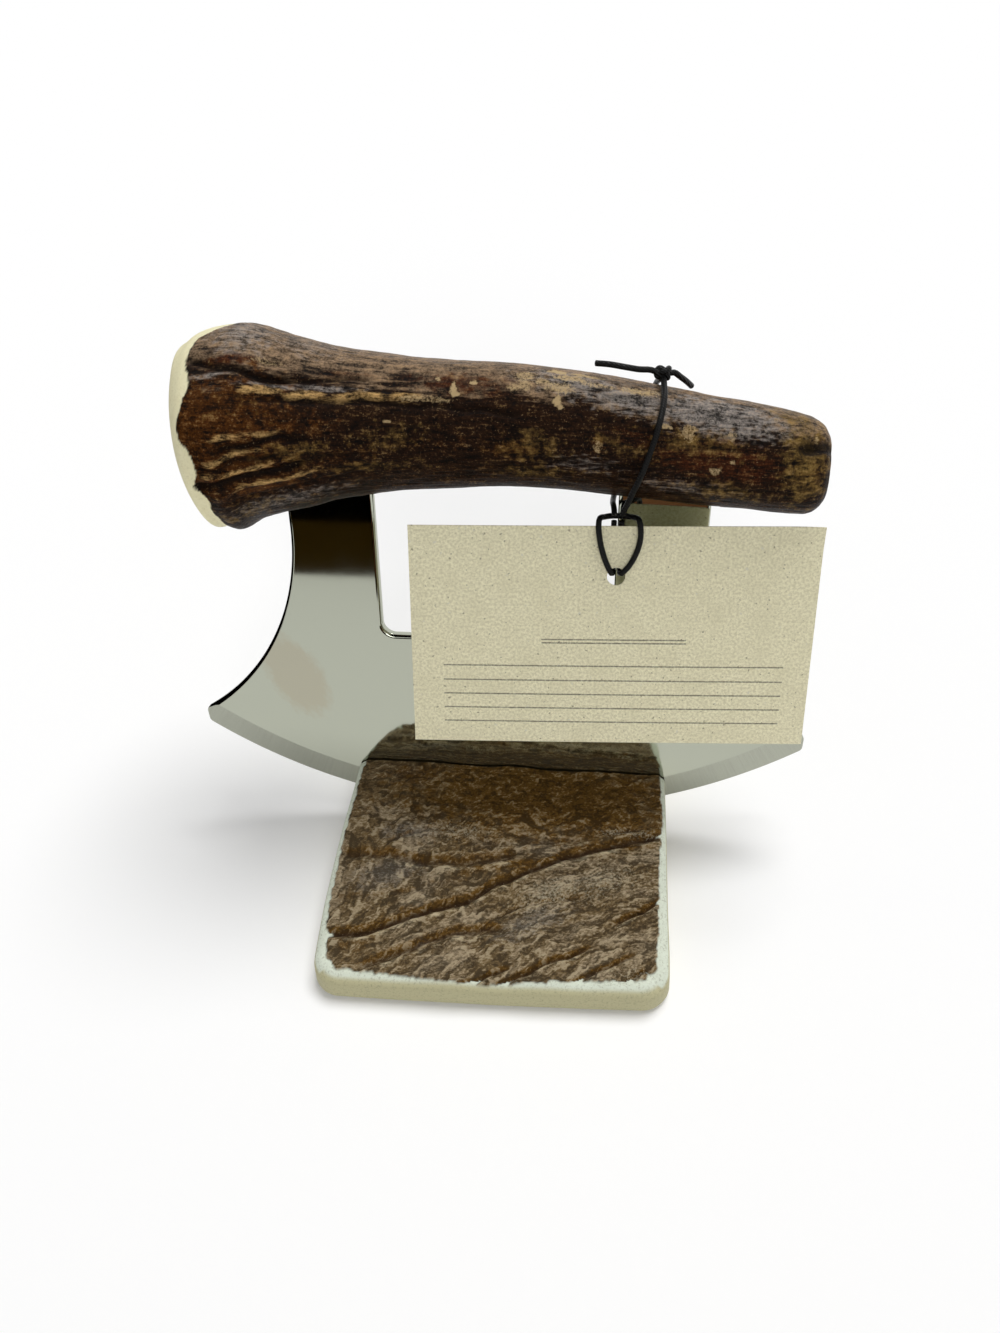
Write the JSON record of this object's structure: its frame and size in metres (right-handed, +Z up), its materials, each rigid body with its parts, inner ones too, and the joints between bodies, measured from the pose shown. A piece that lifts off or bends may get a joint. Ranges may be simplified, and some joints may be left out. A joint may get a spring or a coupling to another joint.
{
  "type": "ulu knife with stand",
  "caption": "Crescent knife with a window-cut steel blade and an antler handle, standing in the slot of a sawn antler block, with a card tag hanging on a cord.",
  "frame": {"origin": "on the surface that the stand rests on, under the middle of the whole object's box", "axes": "+Z up, +X along the blade towards the thin end of the handle, +Y towards the back, where the knife leans"},
  "size_m": [0.15, 0.0995, 0.1227],
  "materials": {
    "polished_steel": "mirror polished stainless steel",
    "antler_bark": "glossy dark brown antler bark",
    "antler_slab": "satin brown antler bark with sawn pale edges",
    "cured_epoxy": "smooth cured resin",
    "card": "matt recycled card",
    "cord_black": "waxed black cord"
  },
  "bodies": {
    "stand": {"stand": "antler_slab"},
    "knife": {"blade": "polished_steel", "handle": "antler_bark", "epoxy_bedding_left": "cured_epoxy", "epoxy_bedding_right": "cured_epoxy", "cord_front_strand": "cord_black", "cord_back_strand": "cord_black", "cord_long_tail": "cord_black", "cord_short_tail": "cord_black", "cord_knot": "cord_black"},
    "tag": {"tag": "card", "tag_hitch": "cord_black"}
  },
  "joints": [
    {"name": "knife_lift", "type": "slide", "parent": "stand", "child": "knife", "axis": [0, 0.2368, 0.9715], "range_m": [0, 0.06]},
    {"name": "tag_swing", "type": "hinge", "parent": "knife", "child": "tag", "pos_m": [0.0272, 0.01898, 0.08706], "axis": [0.9976, 0.0678, -0.0165], "range_deg": [-80, 12]}
  ]
}
